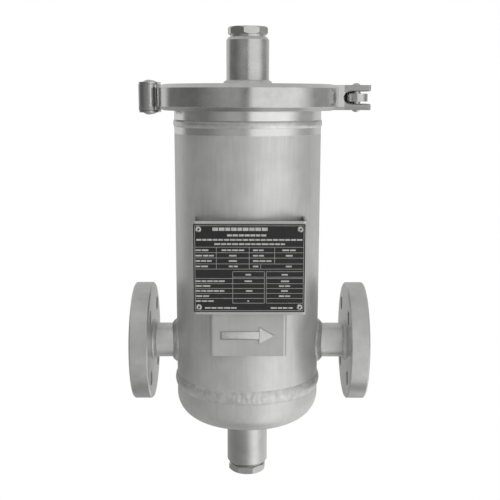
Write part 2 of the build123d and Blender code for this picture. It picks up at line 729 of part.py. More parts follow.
# Tubular rivets: a rolled head in front, a shank through both sheets and a spread tail
with BuildPart() as plate_rivets:
    head_y = NAME_THICK + RIVET_HEAD_RISE
    for rivet_x, rivet_z in RIVET_PLACES:
        rivet_at = Plane(
            origin=(INLET_REACH + rivet_x, -BRACKET_FRONT, rivet_z), x_dir=(1, 0, 0), z_dir=(0, 0, 1)
        )
        with BuildSketch(rivet_at):
            with BuildLine():
                Polyline(
                    (RIVET_BORE_R, -head_y),
                    (RIVET_R, -head_y - RIVET_HEAD_RISE / 2),
                    (RIVET_HEAD_R, -NAME_THICK),
                    (RIVET_R, -NAME_THICK),
                    (RIVET_R, SHEET),
                    (RIVET_TAIL_R, SHEET),
                    (RIVET_R, SHEET + RIVET_TAIL),
                    (RIVET_BORE_R, SHEET + RIVET_TAIL),
                    close=True,
                )
            make_face()
        revolve(axis=Axis(rivet_at.origin, (0, 1, 0)))
save(plate_rivets.part, "plate_rivets")

# Arrow plate: a bent sheet with the flow arrow standing proud of its front
with BuildPart() as flow_arrow_plate:
    add(
        make_stand(
            ARROW_PLATE_X,
            ARROW_PLATE_WIDTH,
            ARROW_PLATE_LOW_Z,
            ARROW_PLATE_HEIGHT,
            ARROW_PLATE_FRONT,
        )
    )
    with BuildSketch(front(ARROW_PLATE_FRONT)):
        with BuildLine():
            Polyline(
                (ARROW_TAIL_X, ARROW_Z - ARROW_SHAFT / 2),
                (ARROW_NECK_X, ARROW_Z - ARROW_SHAFT / 2),
                (ARROW_NECK_X, ARROW_Z - ARROW_HEAD / 2),
                (ARROW_TIP_X, ARROW_Z),
                (ARROW_NECK_X, ARROW_Z + ARROW_HEAD / 2),
                (ARROW_NECK_X, ARROW_Z + ARROW_SHAFT / 2),
                (ARROW_TAIL_X, ARROW_Z + ARROW_SHAFT / 2),
                close=True,
            )
        make_face()
    extrude(amount=ARROW_RISE)
save(flow_arrow_plate.part, "flow_arrow_plate")


def make_ring(low_z, outer_r, inner_r, height):
    """Flat ring about the pot's axis."""
    with BuildPart() as ring:
        with BuildSketch(level(low_z)):
            Circle(outer_r)
            Circle(inner_r, mode=Mode.SUBTRACT)
        extrude(amount=height)
    return ring.part


# Seat ring in the pot and the rim ring by which the basket rests on it
save(make_ring(SEAT_Z, POT_BORE_R - WELD_GAP, POT_BORE_R - SEAT_WIDTH, SEAT_THICK), "basket_seat")
save(
    make_ring(RIM_RING_LOW_Z, RIM_RING_R, SCREEN_BORE_R, RIM_RING_THICK),
    "basket_rim",
)

# Screen: slotted support tube with a round window where the inlet's spigot ends
with BuildPart() as basket_screen:
    add(make_ring(SCREEN_LOW_Z, SCREEN_R, SCREEN_BORE_R, RIM_RING_LOW_Z - SCREEN_LOW_Z))
    for tier in range(SCREEN_TIERS):
        tier_z = SCREEN_FIRST_Z + (tier + 0.5) * SCREEN_PITCH
        with BuildSketch(level(tier_z - SCREEN_SLOT_HEIGHT / 2)):
            with PolarLocations(SCREEN_R, SCREEN_COLUMNS):
                Rectangle(4 * SCREEN_WALL, SCREEN_SLOT_WIDTH)
        extrude(amount=SCREEN_SLOT_HEIGHT, mode=Mode.SUBTRACT)
    with BuildSketch(Plane.YZ):
        Circle(WINDOW_OD / 2)
    extrude(amount=INLET_REACH, mode=Mode.SUBTRACT)
save(basket_screen.part, "basket_screen")

# Fine mesh liner inside the screen, with the same window
with BuildPart() as mesh_liner:
    liner_r = SCREEN_BORE_R - WELD_GAP
    add(make_ring(SCREEN_LOW_Z, liner_r, liner_r - LINER_WALL, RIM_RING_LOW_Z - SCREEN_LOW_Z))
    with BuildSketch(Plane.YZ):
        Circle(WINDOW_OD / 2)
    extrude(amount=INLET_REACH, mode=Mode.SUBTRACT)
save(mesh_liner.part, "mesh_liner")

# Basket base under the screen
with BuildPart() as basket_base:
    with BuildSketch(level(SCREEN_LOW_Z)):
        Circle(SCREEN_R)
    extrude(amount=-BASE_THICK)
save(basket_base.part, "basket_base")

# Lifting handle: a bent rod that stands on the basket's rim
with BuildPart() as basket_handle:
    foot_y = (SCREEN_R + RIM_RING_R) / 2
    rod_top_z = RIM_RING_TOP_Z + HANDLE_RISE
    with BuildLine():
        FilletPolyline(
            (INLET_REACH, -foot_y, RIM_RING_TOP_Z),
            (INLET_REACH, -foot_y, rod_top_z),
            (INLET_REACH, foot_y, rod_top_z),
            (INLET_REACH, foot_y, RIM_RING_TOP_Z),
            radius=HANDLE_BEND_R,
        )
    with BuildSketch(Plane(origin=(INLET_REACH, -foot_y, RIM_RING_TOP_Z), z_dir=(0, 0, 1))):
        Circle(HANDLE_ROD / 2)
    sweep()
save(basket_handle.part, "basket_handle")
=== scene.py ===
"""Looks of an upright pot strainer: its finishes, welds, threads, printed plate and studio.

Lengths are in metres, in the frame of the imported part: the origin is the centre of the inlet
flange's sealing face, +X runs with the flow and +Z is up.
"""

from __future__ import annotations

import logging
import math
from collections.abc import Callable, Iterator, Sequence
from dataclasses import dataclass, field
from enum import Enum
from itertools import pairwise

import bpy
from mathutils import Matrix, Vector, noise

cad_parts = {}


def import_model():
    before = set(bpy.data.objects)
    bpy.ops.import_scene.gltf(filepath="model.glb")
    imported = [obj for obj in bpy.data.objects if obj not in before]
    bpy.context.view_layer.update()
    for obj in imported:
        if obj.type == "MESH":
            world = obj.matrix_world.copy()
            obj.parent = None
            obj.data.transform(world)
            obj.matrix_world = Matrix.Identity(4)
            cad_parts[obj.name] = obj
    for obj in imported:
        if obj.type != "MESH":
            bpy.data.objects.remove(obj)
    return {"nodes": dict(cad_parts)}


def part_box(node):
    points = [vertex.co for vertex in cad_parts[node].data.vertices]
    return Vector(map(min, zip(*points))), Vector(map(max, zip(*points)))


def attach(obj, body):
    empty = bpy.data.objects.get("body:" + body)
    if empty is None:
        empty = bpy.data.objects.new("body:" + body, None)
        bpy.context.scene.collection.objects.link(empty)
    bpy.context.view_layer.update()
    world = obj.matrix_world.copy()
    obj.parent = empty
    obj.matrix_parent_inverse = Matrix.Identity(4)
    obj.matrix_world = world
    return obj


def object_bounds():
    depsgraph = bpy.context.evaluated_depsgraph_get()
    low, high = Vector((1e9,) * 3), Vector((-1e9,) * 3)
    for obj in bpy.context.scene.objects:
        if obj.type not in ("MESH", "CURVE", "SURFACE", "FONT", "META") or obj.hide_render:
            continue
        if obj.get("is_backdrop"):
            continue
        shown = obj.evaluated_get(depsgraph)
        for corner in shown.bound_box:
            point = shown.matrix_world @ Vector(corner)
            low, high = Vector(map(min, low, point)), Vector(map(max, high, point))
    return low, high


LOG = logging.getLogger("pot_strainer")

MM = 0.001
TURN = 2 * math.pi
UP = Vector((0.0, 0.0, 1.0))
NOISE_SPAN = (0.3, 0.7)
WHITE = (1.0, 1.0, 1.0, 1.0)

Colour = tuple[float, float, float]
Point = tuple[float, float, float]
Pairs = tuple[tuple[float, float], ...]


class Slot(Enum):
    """Material slot names that the added pieces are passed with, which nothing reads."""

    BLASTED = "blasted_steel"
    MACHINED = "machined_steel"
    PLATE = "plate_black"


class Body(Enum):
    """Bodies of the part that pieces ride on."""

    VESSEL = "vessel"
    SWING_BOLT = "swing_bolt"


class Lay(Enum):
    """Direction of a finish's fine marks."""

    NONE = "none"
    ABOUT_Z = "about_z"
    ABOUT_X = "about_x"
    ABOUT_Y = "about_y"


class Measure(Enum):
    """What a zone of a skin is measured by."""

    HEIGHT = "height"
    DISTANCE = "distance"


# Shader expressions


class Term:
    """A shader socket with Python's arithmetic: each operator adds a Math node."""

    def __init__(self, graph: Graph, socket: bpy.types.NodeSocket) -> None:
        """Wraps a socket.

        Args:
            graph: Graph that the socket's node belongs to.
            socket: Output socket to wrap.
        """
        self.graph = graph
        self.socket = socket

    def math(self, operation: str, *others: Term | float, first: bool = True) -> Term:
        """Adds one Math node.

        Args:
            operation: Math node's operation.
            others: The other operands.
            first: Whether this term is the first operand.

        Returns:
            The node's value.
        """
        operands = [self, *others] if first else [*others, self]
        node = self.graph.node("ShaderNodeMath", {"operation": operation}, dict(enumerate(operands)))
        return Term(self.graph, node.outputs[0])

    def __add__(self, other: Term | float) -> Term:
        """Sum."""
        return self.math("ADD", other)

    __radd__ = __add__

    def __sub__(self, other: Term | float) -> Term:
        """Difference."""
        return self.math("SUBTRACT", other)

    def __rsub__(self, other: float) -> Term:
        """Difference from a number."""
        return self.math("SUBTRACT", other, first=False)

    def __mul__(self, other: Term | float) -> Term:
        """Product."""
        return self.math("MULTIPLY", other)

    __rmul__ = __mul__

    def __truediv__(self, other: Term | float) -> Term:
        """Quotient."""
        return self.math("DIVIDE", other)

    def clamped(self) -> Term:
        """Value held between 0 and 1."""
        return self.math("MAXIMUM", 0.0).math("MINIMUM", 1.0)

    def ramp(self, low: float, high: float) -> Term:
        """Value stretched so that low gives 0 and high gives 1, held between them."""
        return ((self - low) / (high - low)).clamped()

    def root(self) -> Term:
        """Square root."""
        return self.math("SQRT")


class Graph:
    """Node tree of a material or world."""

    def __init__(self, owner: bpy.types.Material | bpy.types.World) -> None:
        """Empties the owner's node tree.

        Args:
            owner: Material or world to write the nodes of.
        """
        owner.use_nodes = True
        self.tree = owner.node_tree
        self.tree.nodes.clear()

    def node(
        self,
        kind: str,
        settings: dict[str, object] | None = None,
        inputs: dict[str | int, object] | None = None,
    ) -> bpy.types.Node:
        """Adds a node, sets its settings and then fills its sockets.

        Args:
            kind: Node type.
            settings: Node attributes.
            inputs: Values, terms or sockets by socket name or number.

        Returns:
            The new node.
        """
        node = self.tree.nodes.new(kind)
        for name, setting in (settings or {}).items():
            setattr(node, name, setting)
        for name, value in (inputs or {}).items():
            if isinstance(value, Term):
                value = value.socket
            if isinstance(value, bpy.types.NodeSocket):
                self.tree.links.new(value, node.inputs[name])
            else:
                node.inputs[name].default_value = value
        return node

    def split(self, vector: bpy.types.NodeSocket) -> tuple[Term, Term, Term]:
        """Parts of a vector.

        Args:
            vector: Vector socket.

        Returns:
            Its x, y and z.
        """
        node = self.node("ShaderNodeSeparateXYZ", {}, {0: vector})
        x, y, z = (Term(self, output) for output in node.outputs)
        return x, y, z

    def place(self) -> bpy.types.NodeSocket:
        """The point's place in the part's frame, in metres."""
        return self.node("ShaderNodeTexCoord").outputs["Object"]

    def vector(self, x: Term | float, y: Term | float, z: Term | float) -> bpy.types.NodeSocket:
        """Joins three values into a vector socket."""
        return self.node("ShaderNodeCombineXYZ", {}, {0: x, 1: y, 2: z}).outputs[0]

    def noise(
        self, place: bpy.types.NodeSocket, size: float, detail: float = 2.0, roughness: float = 0.5
    ) -> Term:
        """Smooth noise with features of a given size.

        Args:
            place: Vector that the noise is read at.
            size: Feature size in metres.
            detail: Octaves.
            roughness: Strength of the finer octaves.

        Returns:
            Noise around 0.5.
        """
        inputs = {"Vector": place, "Scale": 1 / size, "Detail": detail, "Roughness": roughness}
        return Term(self, self.node("ShaderNodeTexNoise", {}, inputs).outputs["Fac"])

    def mix(self, share: Term | float, low: Colour | Term, high: Colour | Term) -> Term:
        """Blends two colours.

        Args:
            share: 0 for low and 1 for high.
            low: First colour.
            high: Second colour.

        Returns:
            The blended colour.
        """
        low, high = ((*c, 1.0) if isinstance(c, tuple) else c for c in (low, high))
        node = self.node("ShaderNodeMix", {"data_type": "RGBA"}, {0: share, 6: low, 7: high})
        return Term(self, node.outputs[2])

    def edges(self, radius: float) -> tuple[bpy.types.NodeSocket, Term]:
        """Rounded edges.

        Args:
            radius: Radius of the rounding in metres.

        Returns:
            The rounded normal, and a mask that is 1 at sharp edges.
        """
        rounded = self.node("ShaderNodeBevel", {"samples": 6}, {"Radius": radius}).outputs[0]
        straight = self.node("ShaderNodeNewGeometry").outputs["Normal"]
        dot = self.node("ShaderNodeVectorMath", {"operation": "DOT_PRODUCT"}, {0: rounded, 1: straight})
        return rounded, 1 - Term(self, dot.outputs["Value"]).ramp(0.8, 1.0)

    def bump(
        self, height: Term, distance: float, normal: bpy.types.NodeSocket | None = None
    ) -> bpy.types.NodeSocket:
        """Surface normal pushed by a height.

        Args:
            height: Height from 0 to 1.
            distance: What 1 stands for, in metres.
            normal: Normal to push, or none for the surface's own.

        Returns:
            The pushed normal.
        """
        inputs: dict[str | int, object] = {"Height": height, "Distance": distance}
        if normal is not None:
            inputs["Normal"] = normal
        return self.node("ShaderNodeBump", {}, inputs).outputs["Normal"]

    def surface(self, inputs: dict[str | int, object]) -> None:
        """Ends the graph in a Principled shader.

        Args:
            inputs: The shader's values and links by socket name.
        """
        shader = self.node("ShaderNodeBsdfPrincipled", {}, inputs)
        self.node("ShaderNodeOutputMaterial", {}, {"Surface": shader.outputs[0]})


# Finishes


def grey(level: float) -> Colour:
    """Grey of a brightness, with a little less blue, as steel has."""
    return level, level, 0.985 * level


@dataclass(frozen=True)
class Zone:
    """Part of a skin with its own colour and roughness: a band worked differently, and under the clamp a
    band of painted shade.

    Attributes:
        measure: What the zone is measured by.
        start: Where it starts, in metres.
        end: Where it ends, in metres.
        level: Brightness of its colour.
        roughness: Its roughness.
        metallic: Its share of bare metal.
        fade: Width of its border in metres.
    """

    measure: Measure
    start: float
    end: float
    level: float
    roughness: float
    metallic: float
    fade: float = 0.6 * MM

    def share(self, graph: Graph, place: bpy.types.NodeSocket, centre: Point) -> Term:
        """Mask of the zone.

        Args:
            graph: Graph to write in.
            place: The point's place.
            centre: A point on the upright axis that distances are measured from.

        Returns:
            1 inside the zone and 0 outside.
        """
        x, y, z = (term - middle for term, middle in zip(graph.split(place), centre))
        value = z if self.measure is Measure.HEIGHT else (x * x + y * y).root()
        ragged = (graph.noise(place, 3 * MM, 2.0) - 0.5) * (2 * self.fade) + value
        inside = ragged.ramp(self.start, self.start + self.fade)
        return inside * (1 - ragged.ramp(self.end - self.fade, self.end))


@dataclass(frozen=True)
class SteelFinish:
    """Stainless steel with blotches, grain, streaks, fine marks, and edges lightened as rubbed polish and
    as a painted highlight.

    Attributes:
        name: Material's name.
        dark: Brightness of the darkest blotches.
        light: Brightness of the lightest ones.
        roughness: Middle roughness.
        metallic: Share of bare metal; the rest scatters light as a blasted skin does.
        blotch_size: Size of the blotches in metres.
        grain_size: Size of the fine grain in metres.
        grain_depth: Height of the grain in metres.
        streaks: Share of upright streaks in the colour.
        lay: Direction of the fine marks.
        lay_pitch: Spacing of the marks in metres.
        lay_depth: Height of the marks in metres.
        centre: A point on the axis that the marks run about.
        edge: Radius of the rounded edges in metres.
        shine: Brightness that edges take, partly as rubbed polish and partly as a painted highlight.
        rubbing: How far they take it.
        blotch_rough: How much the blotches change the roughness.
        lay_rough: How much the fine marks change it.
        grain_tone: Share of the grain in the colour.
        zones: Parts of the skin with their own colour and roughness, some worked differently and one
            darkened as painted shade.
    """

    name: str
    dark: float
    light: float
    roughness: float
    metallic: float = 1.0
    blotch_size: float = 14 * MM
    grain_size: float = 0.5 * MM
    grain_depth: float = 0.02 * MM
    streaks: float = 0.0
    lay: Lay = Lay.NONE
    lay_pitch: float = 0.5 * MM
    lay_depth: float = 0.01 * MM
    centre: Point = (0.0, 0.0, 0.0)
    edge: float = 0.3 * MM
    shine: float = 0.72
    rubbing: float = 0.6
    blotch_rough: float = 0.16
    lay_rough: float = 0.12
    grain_tone: float = 0.2
    zones: tuple[Zone, ...] = ()

    def marks(self, graph: Graph, place: bpy.types.NodeSocket) -> Term:
        """Fine marks left by turning.

        Args:
            graph: Graph to write in.
            place: The point's place.

        Returns:
            Their height from 0 to 1.
        """
        x, y, z = (term - middle for term, middle in zip(graph.split(place), self.centre))
        along, first, second = {
            Lay.ABOUT_X: (x, y, z),
            Lay.ABOUT_Y: (y, x, z),
        }.get(self.lay, (z, x, y))
        out = (first * first + second * second).root()
        return graph.noise(graph.vector(along, out, 0.0), self.lay_pitch, 3.0, 0.6)

    def build(self) -> bpy.types.Material:
        """Makes the material.

        Returns:
            The new material.
        """
        material = bpy.data.materials.new(self.name)
        graph = Graph(material)
        place = graph.place()
        blotches = graph.noise(place, self.blotch_size, 5.0, 0.6)
        grain = graph.noise(place, self.grain_size, 2.0, 0.6)
        patchy = blotches.ramp(*NOISE_SPAN) * (1 - self.grain_tone - self.streaks)
        tone = patchy + grain.ramp(0.25, 0.75) * self.grain_tone
        if self.streaks:
            x, y, z = graph.split(place)
            tall = graph.vector(x, y, z * 0.07)
            tone = tone + graph.noise(tall, 3 * MM, 3.0, 0.6).ramp(*NOISE_SPAN) * self.streaks
        height, depth = grain, self.grain_depth
        rough = (blotches - 0.5) * self.blotch_rough + self.roughness
        if self.lay is not Lay.NONE:
            marks = self.marks(graph, place)
            depth = self.grain_depth + self.lay_depth
            height = grain * (self.grain_depth / depth) + marks * (self.lay_depth / depth)
            rough = rough + (marks - 0.5) * self.lay_rough
        # Edges are lightened in colour: partly rubbed polish, partly a painted highlight along them.
        normal, rubbed = graph.edges(self.edge)
        base = graph.mix(tone.clamped(), grey(self.dark), grey(self.light))
        metal: Term | float = self.metallic
        for zone in self.zones:
            share = zone.share(graph, place, self.centre)
            base = graph.mix(share * (0.85 + tone * 0.15), base, grey(zone.level))
            rough = rough + share * (zone.roughness - self.roughness)
            metal = share * (zone.metallic - self.metallic) + metal
            rubbed = rubbed * (1 - share * 0.7)
        graph.surface(
            {
                "Base Color": graph.mix(rubbed * self.rubbing, base, grey(self.shine)),
                "Roughness": rough.clamped(),
                "Metallic": metal,
                "Normal": graph.bump(height, depth, normal),
            }
        )
        return material


@dataclass(frozen=True)
class CoatFinish:
    """Non-metal finish: sheet coating, rubber, tape or printed ink.

    Attributes:
        name: Material's name.
        dark: Brightness of the darkest patches.
        light: Brightness of the lightest ones.
        roughness: Roughness.
        patch_size: Size of the patches in metres.
        grain_depth: Height of the fine grain in metres.
    """

    name: str
    dark: float
    light: float
    roughness: float
    patch_size: float = 6 * MM
    grain_depth: float = 0.01 * MM

    def build(self) -> bpy.types.Material:
        """Makes the material.

        Returns:
            The new material.
        """
        material = bpy.data.materials.new(self.name)
        graph = Graph(material)
        place = graph.place()
        patches = graph.noise(place, self.patch_size, 3.0)
        grain = graph.noise(place, 0.4 * MM, 2.0)
        graph.surface(
            {
                "Base Color": graph.mix(patches.ramp(*NOISE_SPAN), grey(self.dark), grey(self.light)),
                "Roughness": (patches - 0.5) * 0.1 + self.roughness,
                "Normal": graph.bump(grain, self.grain_depth),
            }
        )
        return material


# Meshes


@dataclass
class Skin:
    """Vertices and faces of one piece while it is being made."""

    points: list[Vector] = field(default_factory=list)
    faces: list[tuple[int, ...]] = field(default_factory=list)

    def grid(self, rows: Sequence[Sequence[Vector]], wrap: bool = False, cap: bool = False) -> None:
        """Adds a sheet of quads.

        Args:
            rows: Rows of points, all of one length.
            wrap: Whether each row's last point joins its first.
            cap: Whether the first and last rows are closed with a face.
        """
        start, width = len(self.points), len(rows[0])
        self.points += [point for row in rows for point in row]
        for i in range(len(rows) - 1):
            for j in range(width if wrap else width - 1):
                a = start + i * width + j
                b = start + i * width + (j + 1) % width
                self.faces.append((a, b, b + width, a + width))
        if cap:
            self.faces.append(tuple(range(start + width - 1, start - 1, -1)))
            last = start + (len(rows) - 1) * width
            self.faces.append(tuple(range(last, last + width)))

    def block(self, low: Vector, high: Vector) -> None:
        """Adds a box between two corners.

        Args:
            low: Corner with the lowest coordinates.
            high: Corner with the highest coordinates.
        """
        ring = ((low.x, low.y), (high.x, low.y), (high.x, high.y), (low.x, high.y))
        rows = [[Vector((x, y, z)) for x, y in ring] for z in (low.z, high.z)]
        self.grid(rows, wrap=True, cap=True)

    def piece(
        self, name: str, body: Body, slot: Slot, material: bpy.types.Material, smooth: bool = True
    ) -> bpy.types.Object:
        """Makes the mesh object and lets it ride on its body.

        Args:
            name: Piece's name.
            body: Body that it moves with.
            slot: Material slot; not used.
            material: Finish.
            smooth: Whether its faces are shaded smooth.

        Returns:
            The new object.
        """
        mesh = bpy.data.meshes.new(name)
        mesh.from_pydata([tuple(point) for point in self.points], [], self.faces)
        mesh.validate()
        mesh.materials.append(material)
        for polygon in mesh.polygons:
            polygon.use_smooth = smooth
        made = bpy.data.objects.new(name, mesh)
        bpy.context.scene.collection.objects.link(made)
        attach(made, body.value)
        LOG.info("piece %s: %d faces on %s", name, len(mesh.polygons), body.value)
        return made


# Welds


@dataclass(frozen=True)
class Ripple:
    """Scales of a weld bead.

    Attributes:
        pitch: Spacing of the ripples.
        depth: Height of the ripples.
        wander: Height of the slow unevenness.
        lift: How far the bead stands off the pieces it joins, and how far its edges sink in.
        bend: Lag of the ripples in the bead's middle, in radians.
        jitter: Unevenness of the ripples' spacing, in pitches.
        jitter_rate: How fast that changes, per metre.
        wander_rate: How fast the slow unevenness changes, per metre.
    """

    pitch: float
    depth: float
    wander: float
    lift: float = 0.05 * MM
    bend: float = 1.9
    jitter: float = 0.2
    jitter_rate: float = 90.0
    wander_rate: float = 240.0

    def rise(self, place: Vector, along: float, across: float) -> float:
        """Height of the bead's skin over its smooth form.

        Args:
            place: Point of the bead, which seeds its unevenness.
            along: Distance along the bead.
            across: Place across the bead, from -1 to 1.

        Returns:
            Height to add, below 0 at the edges, which sink into the pieces that the bead joins.
        """
        crown = 1 - across * across
        pitches = along / self.pitch + self.jitter * noise.noise(place * self.jitter_rate)
        wave = 0.5 + 0.5 * math.cos(TURN * pitches + self.bend * crown)
        uneven = 0.5 + 0.5 * noise.noise(place * self.wander_rate)
        lift = self.lift if abs(across) < 1 else -self.lift
        return crown * (self.depth * wave + self.wander * uneven) + lift


def closed_rows(steps: int, rungs: int, point: Callable[[float, float], Vector]) -> list[list[Vector]]:
    """Rows of points round a bead that ends where it starts.

    Args:
        steps: Rows in one turn.
        rungs: Points in a row.
        point: Point at a turn round the bead and a place across it, from -1 to 1.

    Returns:
        The rows, the last on the first.
    """
    places = [2 * rung / (rungs - 1) - 1 for rung in range(rungs)]
    turns = [TURN * (step % steps) / steps for step in range(steps + 1)]
    return [[point(turn, across) for across in places] for turn in turns]


@dataclass(frozen=True)
class GirthSeam:
    """Bead laid round the pot over one of its girth welds.

    Attributes:
        name: Piece's name.
        z: Height of the seam.
        width: Width of the bead.
        proud: How far its crest stands from the pot.
        ripple: Scales of its ripples.
    """

    name: str
    z: float
    width: float
    proud: float
    ripple: Ripple

    def build(self, axis: Vector, radius: float, material: bpy.types.Material) -> None:
        """Makes the bead.

        Args:
            axis: A point on the pot's axis.
            radius: Pot's radius.
            material: Finish.
        """
        bead_r = (self.proud**2 + (self.width / 2) ** 2) / (2 * self.proud)

        def point(turn: float, across: float) -> Vector:
            """Point on the bead's surface.

            Args:
                turn: Angle round the pot.
                across: Place across the bead, from -1 to 1.

            Returns:
                The point.
            """
            out = Vector((math.cos(turn), math.sin(turn), 0.0))
            reach = across * self.width / 2
            place = Vector((axis.x, axis.y, self.z + reach)) + out * radius
            rise = math.sqrt(bead_r**2 - reach**2) - (bead_r - self.proud)
            return place + out * (rise + self.ripple.rise(place, turn * radius, across))

        skin = Skin()
        skin.grid(closed_rows(1080, 15, point))
        skin.piece(self.name, Body.VESSEL, Slot.BLASTED, material)


@dataclass(frozen=True)
class FilletBead:
    """Bead in the corner between two pieces, closed on itself.

    Attributes:
        name: Piece's name.
        spot: Point at a turn round the bead, a radius, and a height up the pipe.
        radius: Pipe's radius.
        leg: Width of the bead on the pipe and on the piece that it stands on.
        ripple: Scales of its ripples.
        bulge: How far the bead's middle stands proud of a straight fillet.
    """

    name: str
    spot: Callable[[float, float, float], Vector]
    radius: float
    leg: float
    ripple: Ripple
    bulge: float = 0.35 * MM

    def build(self, material: bpy.types.Material) -> None:
        """Makes the bead.

        Args:
            material: Finish.
        """

        def point(turn: float, across: float) -> Vector:
            """Point on the bead's surface.

            Args:
                turn: Angle round the pipe.
                across: Place across the bead, from -1 to 1.

            Returns:
                The point.
            """
            first = self.spot(turn, self.radius, self.leg)
            second = self.spot(turn, self.radius + self.leg, 0.0)
            out = ((first + second) / 2 - self.spot(turn, self.radius, 0.0)).normalized()
            place = first.lerp(second, (across + 1) / 2)
            rise = self.bulge * (1 - across * across)
            return place + out * (rise + self.ripple.rise(place, turn * self.radius, across))

        skin = Skin()
        skin.grid(closed_rows(420, 9, point))
        skin.piece(self.name, Body.VESSEL, Slot.BLASTED, material)


@dataclass(frozen=True)
class Welds:
    """All weld beads of the pot.

    Attributes:
        axis: A point on the pot's axis.
        pot_r: Pot's outer radius.
        nozzle_r: Nozzle's outer radius.
        socket_r: Sockets' outer radius.
        cover_top: Height of the cover's crown.
        cover_r: Radius of the cover's crown.
        end_r: Radius of the dished end's crown.
        drain_r: Radius of the drain's hole, which the dished end stops at.
        lower: Lower girth weld, left as welded.
        upper: Upper girth weld, which is ground smooth.
        nozzle_leg: Width of the nozzles' beads on each piece.
        flange_leg: The same for the flanges' beads.
        socket_leg: The same for the sockets' beads.
    """

    axis: Vector
    pot_r: float = 69.85 * MM
    nozzle_r: float = 16.85 * MM
    socket_r: float = 20.1 * MM
    cover_top: float = 251.5 * MM
    cover_r: float = 390.0 * MM
    end_r: float = 150.0 * MM
    drain_r: float = 14.0 * MM
    lower: GirthSeam = GirthSeam(
        "lower_girth_weld", -36.3 * MM, 13.4 * MM, 1.35 * MM, Ripple(4.6 * MM, 0.14 * MM, 0.5 * MM)
    )
    upper: GirthSeam = GirthSeam(
        "upper_girth_weld", 214.5 * MM, 6.8 * MM, 0.85 * MM, Ripple(1.8 * MM, 0.04 * MM, 0.12 * MM)
    )
    nozzle_leg: float = 4.7 * MM
    flange_leg: float = 3.7 * MM
    socket_leg: float = 3.4 * MM

    def nozzle(self, name: str, side: int) -> FilletBead:
        """Bead between a nozzle and the pot's round wall.

        Args:
            name: Piece's name.
            side: -1 for the inlet and 1 for the outlet.

        Returns:
            The bead.
        """

        def spot(turn: float, radius: float, up: float) -> Vector:
            """Point round the nozzle, out from the pot's curved wall."""
            y, z = radius * math.cos(turn), radius * math.sin(turn)
            return Vector((self.axis.x + side * (math.sqrt(self.pot_r**2 - y * y) + up), y, z))

        ripple = Ripple(2.2 * MM, 0.14 * MM, 0.35 * MM)
        return FilletBead(name, spot, self.nozzle_r, self.nozzle_leg, ripple)

    def flange(self, name: str, back_x: float, side: int) -> FilletBead:
        """Bead between a nozzle and the back of its flange.

        Args:
            name: Piece's name.
            back_x: Place of the flange's back along the flow.
            side: 1 where the pot lies towards +X of the flange and -1 where it lies towards -X.

        Returns:
            The bead.
        """

        def spot(turn: float, radius: float, up: float) -> Vector:
            """Point round the nozzle, away from the flange's back."""
            return Vector((back_x + side * up, radius * math.cos(turn), radius * math.sin(turn)))

        ripple = Ripple(2.0 * MM, 0.12 * MM, 0.2 * MM)
        return FilletBead(name, spot, self.nozzle_r, self.flange_leg, ripple)

    def socket(self, name: str, crown_z: float, crown_r: float, side: int) -> FilletBead:
        """Bead between a socket and the crown that it stands on.

        Args:
            name: Piece's name.
            crown_z: Height of the crown on the pot's axis.
            crown_r: Crown's radius.
            side: 1 for the cover and -1 for the dished end.

        Returns:
            The bead.
        """

        def spot(turn: float, radius: float, up: float) -> Vector:
            """Point round the socket, away from the crown."""
            z = crown_z + side * (up - crown_r + math.sqrt(crown_r**2 - radius**2))
            return Vector((self.axis.x + radius * math.cos(turn), radius * math.sin(turn), z))

        ripple = Ripple(2.4 * MM, 0.12 * MM, 0.25 * MM)
        return FilletBead(name, spot, self.socket_r, self.socket_leg, ripple)

    def build(self, material: bpy.types.Material, dressed: bpy.types.Material) -> None:
        """Makes every bead.

        Args:
            material: Finish of the beads left as welded.
            dressed: Finish of the upper seam.
        """
        self.lower.build(self.axis, self.pot_r, material)
        self.upper.build(self.axis, self.pot_r, dressed)
        inlet_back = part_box("inlet_flange")[1].x
        outlet_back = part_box("outlet_flange")[0].x
        end_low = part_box("dished_end")[0].z - (self.end_r - math.sqrt(self.end_r**2 - self.drain_r**2))
        for bead in (
            self.nozzle("inlet_saddle_weld", -1),
            self.nozzle("outlet_saddle_weld", 1),
            self.flange("inlet_flange_weld", inlet_back, 1),
            self.flange("outlet_flange_weld", outlet_back, -1),
            self.socket("vent_socket_weld", self.cover_top, self.cover_r, 1),
            self.socket("drain_socket_weld", end_low, self.end_r, -1),
        ):
            bead.build(material)


# Swing bolt


@dataclass(frozen=True)
class BoltThread:
    """Thread wound on the swing bolt's plain shank.

    Attributes:
        root_r: Radius at the thread's root.
        crest_r: Radius at its crest.
        pitch: Rise for each turn.
        turns: Number of turns.
        bare_turns: How far it stops short of the bolt's end, in turns.
        per_turn: Rows in one turn.
    """

    root_r: float = 4.98 * MM
    crest_r: float = 5.3 * MM
    pitch: float = 1.5 * MM
    turns: int = 20
    bare_turns: float = 1.6
    per_turn: int = 72

    def profile(self) -> Pairs:
        """Radius and rise of the thread's outline, over one pitch."""
        flat = self.pitch / 8
        return (
            (self.root_r, 0.0),
            (self.root_r, flat),
            (self.crest_r, (self.pitch - flat) / 2),
            (self.crest_r, (self.pitch + flat) / 2),
            (self.root_r, self.pitch - flat),
            (self.root_r, self.pitch),
        )

    def build(self, material: bpy.types.Material) -> None:
        """Makes the thread.

        Args:
            material: Finish.
        """
        low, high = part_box("eye_bolt")
        start = (low + high) / 2
        start.y = high.y - (self.turns + self.bare_turns) * self.pitch
        along = Vector((0.0, 1.0, 0.0))
        side = along.orthogonal().normalized()
        other = along.cross(side)
        skin, rows = Skin(), []
        for turns in (step / self.per_turn for step in range(self.turns * self.per_turn + 1)):
            out = side * math.cos(TURN * turns) + other * math.sin(TURN * turns)
            foot = start + along * (self.pitch * turns)
            fade = min(1.0, 2 * turns, 2 * (self.turns - turns))
            rows.append(
                [
                    foot + along * rise + out * (self.root_r + (radius - self.root_r) * fade)
                    for radius, rise in self.profile()
                ]
            )
        skin.grid(rows)
        skin.piece("swing_bolt_thread", Body.SWING_BOLT, Slot.MACHINED, material, smooth=False)


# Flow arrow and name plate


